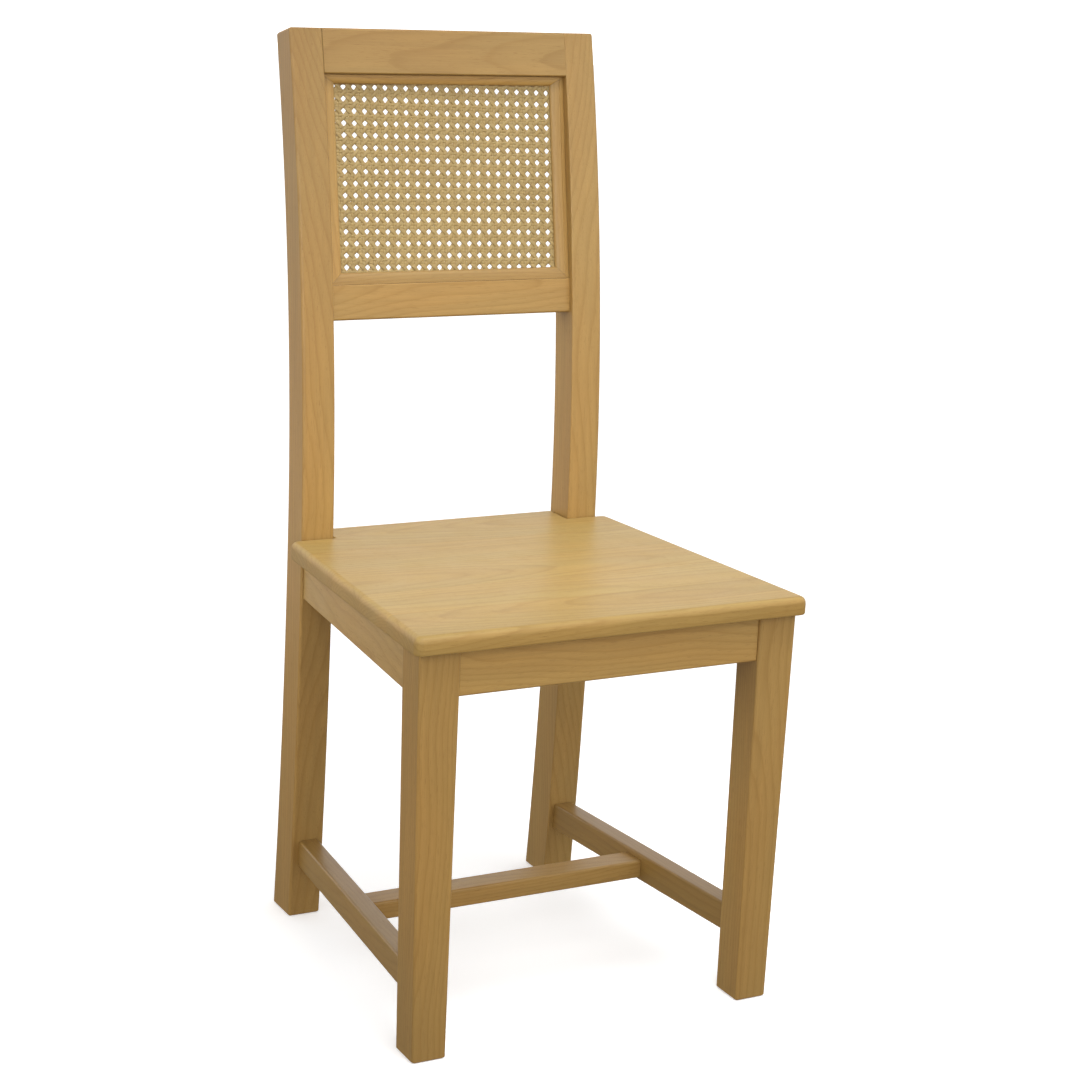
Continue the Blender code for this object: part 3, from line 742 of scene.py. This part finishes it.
def wobble(draw, count, size, reach):
    """A slow random wander, the same each run."""
    keys = draw.normal(0, size, max(4, int(count / reach) + 3))
    at = np.linspace(0, len(keys) - 1, count)
    i = np.clip(at.astype(int), 0, len(keys) - 2)
    f = at - i
    f = f * f * (3 - 2 * f)
    return keys[i] * (1 - f) + keys[i + 1] * f


def strand(kind, index, which, draw):
    """One strand's points in the panel frame (mm) and its sideways directions."""
    if kind == "vertical":
        # pairs stand midway between columns of holes
        a0 = index + 0.5 + which * HALF_PAIR
        b = np.arange(-12, 12, 1 / 8)
        a = np.full_like(b, a0) + wobble(draw, len(b), 0.012, 10)
        x, t = to_panel(a, b)
        # rows of horizontal pairs lie at half numbers of b
        near = b - np.floor(b) - 0.5
        first = hump((near + HALF_PAIR_T) / HUMP)
        second = hump((near - HALF_PAIR_T) / HUMP)
        w = (first - second) * which * 0.5 * LIFT
    elif kind == "horizontal":
        b0 = index + 0.5 + which * HALF_PAIR_T
        a = np.arange(-13, 13, 1 / 8)
        b = np.full_like(a, b0) + wobble(draw, len(a), 0.012, 10)
        x, t = to_panel(a, b)
        near = a - np.floor(a) - 0.5
        first = hump((near + HALF_PAIR) / HUMP)
        second = hump((near - HALF_PAIR) / HUMP)
        w = (second - first) * which * 0.5 * LIFT
    else:
        # Diagonals pass midway between the crossings of the pairs: over one
        # family of pairs and under the other.
        way = 1 if kind == "rising" else -1
        a = np.arange(-13, 13, 1 / 8)
        b = way * a + index + 0.5 + 0.5 * 0
        b = b + wobble(draw, len(a), 0.012, 10)
        x, t = to_panel(a, b)
        # at a = n + 1/2 it meets a vertical pair, at b = n + 1/2 a horizontal one
        w = way * np.cos(2 * np.pi * a) * LIFT
    w = w + LEVEL + wobble(draw, len(w), 0.03, 8)
    keep = (np.abs(x) < CLOTH_HALF_WIDE) & (np.abs(t) < CLOTH_HALF_TALL)
    if keep.sum() < 5:
        return None
    i0, i1 = np.flatnonzero(keep)[[0, -1]]
    points = np.stack([x, t, w], 1)[i0 : i1 + 1]
    flow = np.gradient(points[:, :2], axis=0)
    flow /= np.linalg.norm(flow, axis=1)[:, None]
    sides = np.stack([flow[:, 1], -flow[:, 0], np.zeros(len(flow))], 1)
    return points, sides


def cane_material():
    t = Tree("cane_skin")
    along = t.nodes.new("ShaderNodeAttribute")
    along.attribute_name = "run"  # (mm along the strand, mm across, strand number)
    s, u, which = t.split(along.outputs["Vector"])
    own = t.node("ShaderNodeTexWhiteNoise", None, which, noise_dimensions="1D")
    own_colour = t.nodes.new("ShaderNodeTexWhiteNoise")
    own_colour.noise_dimensions = "1D"
    t.put(own_colour.inputs["W"], t.math("ADD", which, 71.3))
    tint = own_colour.outputs["Value"]
    p = t.join(t.math("MULTIPLY", s, 0.03), t.math("MULTIPLY", u, 2.2), which)
    fibre = t.noise(p, 1.0, 3.0, 0.6)
    long = t.noise(t.join(t.math("MULTIPLY", s, 0.012), 0.0, which), 1.0, 2.0, 0.5)
    # the joints of the rattan stem: a dark ring here and there
    stem = t.math("FRACT", t.math("MULTIPLY_ADD", s, 0.0041, own))
    ring = t.span(t.math("ABSOLUTE", t.math("SUBTRACT", stem, 0.5)), 0.0, 0.0045, 1.0, 0.0, True)
    pale = (0.390, 0.284, 0.114)
    gold = (0.341, 0.232, 0.080)
    colour = t.mix(t.span(own, 0.0, 1.0, 0.0, 0.75), pale, gold)
    colour = t.mix(t.span(long, 0.40, 0.70, 0.0, 0.35, True), colour, (0.350, 0.225, 0.068))
    gain = t.math("MULTIPLY_ADD", fibre, 0.26, 0.87)
    gain = t.math("MULTIPLY", gain, t.math("MULTIPLY_ADD", tint, 0.14, 0.93))
    colour = t.mix(1.0, colour, t.join(gain, gain, gain), "MULTIPLY")
    colour = t.mix(t.math("MULTIPLY", ring, 0.55), colour, (0.17, 0.088, 0.026))
    edge = t.span(t.math("ABSOLUTE", u), 1.0, 1.45, 0.0, 0.35, True)
    colour = t.mix(edge, colour, (0.30, 0.18, 0.060))
    t.shade(
        **{
            "Base Color": colour,
            "Roughness": t.math("MULTIPLY_ADD", fibre, 0.20, 0.30),
            "Normal": t.bump(fibre, 0.35, 0.00012),
            "IOR": 1.5,
            "Subsurface Weight": 0.0,
            "Sheen Weight": 0.0,
        }
    )
    return t.material


def weave(name, kind, material):
    vertices, faces, runs = [], [], []
    count = 0
    draw = np.random.default_rng({"vertical": 1, "horizontal": 2, "rising": 3, "falling": 4}[kind])
    reach = range(-26, 27)
    for index in reach:
        for which in (-1, 1) if kind in ("vertical", "horizontal") else (0,):
            made = strand(kind, index, which, draw)
            wide = PAIR_WIDE if kind in ("vertical", "horizontal") else DIAGONAL_WIDE
            wide *= draw.uniform(0.95, 1.04)
            if made is None:
                continue
            points, sides = made
            new, rings = ribbon(points, sides, wide, STRAND_THICK, draw)
            run = np.concatenate(
                [[0], np.cumsum(np.linalg.norm(np.diff(points, axis=0), axis=1))]
            )
            run = run + draw.uniform(0, 400)
            section = np.array([-0.5, -0.5, -0.3, 0.0, 0.3, 0.5, 0.5, 0.0]) * wide
            number = hash_number(kind, index, which)
            for r in run:
                for u in section:
                    runs.append((r, u, number))
            base = len(vertices)
            vertices.extend(new.tolist())
            faces.extend([tuple(base + i for i in f) for f in rings])
            count += 1
    rows = np.array(vertices)
    world = (
        np.array(PANEL)[None, :]
        + rows[:, :1] * MM * np.array((1.0, 0, 0))
        + rows[:, 1:2] * MM * np.array(PANEL_UP)
        + rows[:, 2:3] * MM * np.array(PANEL_OUT)
    )
    mesh = bpy.data.meshes.new(name)
    mesh.from_pydata(world.tolist(), [], faces)
    mesh.validate()
    attribute = mesh.attributes.new("run", "FLOAT_VECTOR", "POINT")
    attribute.data.foreach_set("vector", np.array(runs, np.float32).ravel())
    mesh.materials.append(material)
    mesh.polygons.foreach_set("use_smooth", [len(f) == 4 for f in faces])
    mesh.update()
    piece = bpy.data.objects.new(name, mesh)
    bpy.context.scene.collection.objects.link(piece)
    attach(piece, "root")
    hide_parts("cane_panel")
    return piece, count


def hash_number(kind, index, which):
    base = {"vertical": 0, "horizontal": 200, "rising": 400, "falling": 600}[kind]
    return float(base + (index + 40) * 2 + (which > 0)) + 0.37


cane = cane_material()
for name, kind in (
    ("cane_uprights", "vertical"),
    ("cane_crossways", "horizontal"),
    ("cane_rising", "rising"),
    ("cane_falling", "falling"),
):
    piece, count = weave(name, kind, cane)
    print(name, count, "strands", len(piece.data.polygons), "faces")


def glued_edge():
    """The sheet's edge, soaked in glue and held between the beads and the strips
    in a shallow groove of the frame, so that no light shows past it."""
    inner, outer, corner = (136.5, 104.5), (151.2, 116.6), 1.5
    rows = []
    for wide, tall in (inner, outer):
        line = []
        for sx, st, turn in ((1, 1, 0), (-1, 1, 90), (-1, -1, 180), (1, -1, 270)):
            for k in range(5):
                a = math.radians(turn + 22.5 * k)
                line.append(
                    (
                        sx * (wide - corner) + corner * math.cos(a),
                        st * (tall - corner) + corner * math.sin(a),
                    )
                )
        rows.append(line)
    n = len(rows[0])
    loops = [(rows[0], -1.35), (rows[1], -1.35), (rows[1], -0.25), (rows[0], -0.25)]
    vertices = [
        PANEL + PANEL_UP * t * MM + PANEL_OUT * w * MM + Vector((x * MM, 0, 0))
        for line, w in loops
        for x, t in line
    ]
    faces = [
        (i * n + j, i * n + (j + 1) % n, (i + 1) % 4 * n + (j + 1) % n, (i + 1) % 4 * n + j)
        for i in range(4)
        for j in range(n)
    ]
    mesh = bpy.data.meshes.new("cane_glued_edge")
    mesh.from_pydata([tuple(v) for v in vertices], [], faces)
    mesh.validate()
    mesh.update()
    # painted shade: the glued edge is dark like wood in shadow, so that a slit where it shows reads as shade
    t = Tree("glue_and_painted_shade")
    coordinates = t.nodes.new("ShaderNodeTexCoord").outputs["Object"]
    patch = t.noise(t.scaled(coordinates, 300, 300, 300), 1.0, 3.0, 0.6)
    t.shade(
        **{
            "Base Color": t.mix(patch, (0.30, 0.175, 0.060), (0.20, 0.110, 0.035)),
            "Roughness": t.math("MULTIPLY_ADD", patch, 0.3, 0.45),
            "Normal": t.bump(patch, 0.3, 0.0002),
        }
    )
    mesh.materials.append(t.material)
    piece = bpy.data.objects.new("cane_glued_edge", mesh)
    bpy.context.scene.collection.objects.link(piece)
    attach(piece, "root")
    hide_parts("cane_panel")
    return piece


glued_edge()


# ---------------------------------------------------------------- stage


def floor_material():
    t = Tree("pale_floor")
    coordinates = t.nodes.new("ShaderNodeTexCoord").outputs["Object"]
    speck = t.noise(t.scaled(coordinates, 3, 3, 3), 1.0, 2.0, 0.5)
    colour = t.mix(speck, (0.90, 0.90, 0.90), (0.92, 0.92, 0.92))
    # lit a little from within, like a light table, so that it stays near white
    t.shade(
        **{
            "Base Color": colour,
            "Roughness": 0.75,
            "Specular IOR Level": 0.1,
            "Emission Color": (1.0, 1.0, 1.0),
            "Emission Strength": 0.42,
        }
    )
    return t.material


def make_floor():
    import bmesh

    mesh = bpy.data.meshes.new("floor")
    bm = bmesh.new()
    bmesh.ops.create_circle(bm, cap_ends=True, segments=96, radius=20)
    bm.to_mesh(mesh)
    bm.free()
    floor = bpy.data.objects.new("floor", mesh)
    floor.location = (0, 0, -0.0004)
    mesh.materials.append(floor_material())
    bpy.context.scene.collection.objects.link(floor)
    # the floor isn't a second lamp under the chair: the dim lower half of the
    # surroundings stands for its light and its reflection
    floor.visible_diffuse = False
    floor.visible_glossy = False
    return floor


make_floor()


def make_backdrop():
    """The far white wall round the floor: the camera sees it, the chair doesn't."""
    import bmesh

    t = Tree("white_backdrop")
    t.shade(
        **{
            "Base Color": (0.9, 0.9, 0.9),
            "Roughness": 1.0,
            "Specular IOR Level": 0.0,
            "Emission Color": (1.0, 1.0, 1.0),
            "Emission Strength": 1.0,
        }
    )
    mesh = bpy.data.meshes.new("backdrop")
    bm = bmesh.new()
    bmesh.ops.create_cone(
        bm, cap_ends=False, segments=96, radius1=19, radius2=19, depth=20
    )
    bmesh.ops.translate(bm, vec=(0, 0, 9.5), verts=bm.verts)
    for face in bm.faces:
        face.smooth = True
    bm.to_mesh(mesh)
    bm.free()
    mesh.materials.append(t.material)
    wall = bpy.data.objects.new("backdrop", mesh)
    bpy.context.scene.collection.objects.link(wall)
    wall.visible_diffuse = False
    wall.visible_glossy = False
    wall.visible_transmission = False
    wall.visible_shadow = False
    return wall


make_backdrop()


def soft_light(name, at, to, size, power, spread=180):
    """A round lamp in a soft box; a narrow spread keeps its light off the floor."""
    data = bpy.data.lights.new(name, "AREA")
    data.shape = "DISK"
    data.size = size
    data.energy = power
    data.spread = math.radians(spread)
    lamp = bpy.data.objects.new(name, data)
    at, to = Vector(at), Vector(to)
    lamp.matrix_world = Matrix.Translation(at) @ (at - to).to_track_quat("Z", "Y").to_matrix().to_4x4()
    bpy.context.scene.collection.objects.link(lamp)
    return lamp


def soft_sun(name, azimuth, elevation, strength, spread=50):
    """A wide, even light from far away: azimuth from the front towards +X."""
    data = bpy.data.lights.new(name, "SUN")
    data.energy = strength
    data.angle = math.radians(spread)
    lamp = bpy.data.objects.new(name, data)
    a, e = math.radians(azimuth), math.radians(elevation)
    towards = Vector((math.sin(a) * math.cos(e), -math.cos(a) * math.cos(e), math.sin(e)))
    lamp.matrix_world = towards.to_track_quat("Z", "Y").to_matrix().to_4x4()
    bpy.context.scene.collection.objects.link(lamp)
    return lamp


soft_light("left_box", (-1.2, -1.8, 1.9), (0, 0.25, 0.58), 0.9, 0.25, 40)
soft_light("low_box", (-0.9, -2.2, 0.9), (0, 0.35, 0.76), 0.7, 0.36, 30)
soft_light("side_box", (-2.2, 0.3, 0.75), (-0.2, 0.06, 0.44), 0.6, 0.21, 22).visible_glossy = False
soft_light("high_box", (-2.1, 0.4, 1.3), (-0.2, 0.2, 0.95), 0.5, 0.18, 22).visible_glossy = False
soft_light("seat_box", (0, -0.6, 2.4), (0, -0.05, 0.46), 0.8, 1.98, 45)
soft_sun("front_left", -20, 35, 0.310)
soft_sun("front_right", 20, 30, 0.220)
soft_sun("side", 60, 60, 0.519)
soft_sun("rear", 180, 10, 0.55).visible_glossy = False


def far_card():
    """A pale sheet on the floor behind the chair: only the lacquer's reflections
    show it, as a soft sheen on the sides."""
    t = Tree("far_card")
    t.shade(
        **{
            "Base Color": (0.0, 0.0, 0.0),
            "Roughness": 1.0,
            "Specular IOR Level": 0.0,
            "Emission Color": (1.0, 1.0, 1.0),
            "Emission Strength": 0.52,
        }
    )
    mesh = bpy.data.meshes.new("far_card")
    mesh.from_pydata([(-14, 1.3, 0.001), (14, 1.3, 0.001), (14, 14, 0.001), (-14, 14, 0.001)], [], [(0, 1, 2, 3)])
    mesh.materials.append(t.material)
    card = bpy.data.objects.new("far_card", mesh)
    bpy.context.scene.collection.objects.link(card)
    card.visible_camera = False
    card.visible_diffuse = False
    card.visible_transmission = False
    card.visible_shadow = False
    return card


far_card()

# Surroundings like a light tent: brightest a little above the horizon, and below
# it the dim, warm glow of a floor.
SKY = ((-1.0, 0.262), (-0.25, 0.262), (0.0, 0.945), (0.30, 1.160), (0.65, 0.660), (1.0, 0.081))
world = bpy.data.worlds.new("studio")
world.use_nodes = True
bpy.context.scene.world = world
sky = world.node_tree
surroundings = sky.nodes["Background"]
direction = sky.nodes.new("ShaderNodeTexCoord")
parts = sky.nodes.new("ShaderNodeSeparateXYZ")
height = sky.nodes.new("ShaderNodeMapRange")
height.inputs["From Min"].default_value = -1
height.inputs["From Max"].default_value = 1
bands = sky.nodes.new("ShaderNodeValToRGB")
stops = bands.color_ramp.elements
while len(stops) < len(SKY):
    stops.new(0.5)
for stop, (z, k) in zip(stops, SKY):
    stop.position = (z + 1) / 2
    stop.color = (k, k * 0.88, k * 0.70, 1) if z < 0 else (k, k, k, 1)
sky.links.new(direction.outputs["Generated"], parts.inputs[0])
sky.links.new(parts.outputs[2], height.inputs["Value"])
sky.links.new(height.outputs[0], bands.inputs[0])
sky.links.new(bands.outputs[0], surroundings.inputs["Color"])
surroundings.inputs["Strength"].default_value = 1.0

settings = bpy.context.scene.view_settings
settings.view_transform = "Standard"
settings.look = "None"
settings.exposure = 0.0
settings.gamma = 1.0
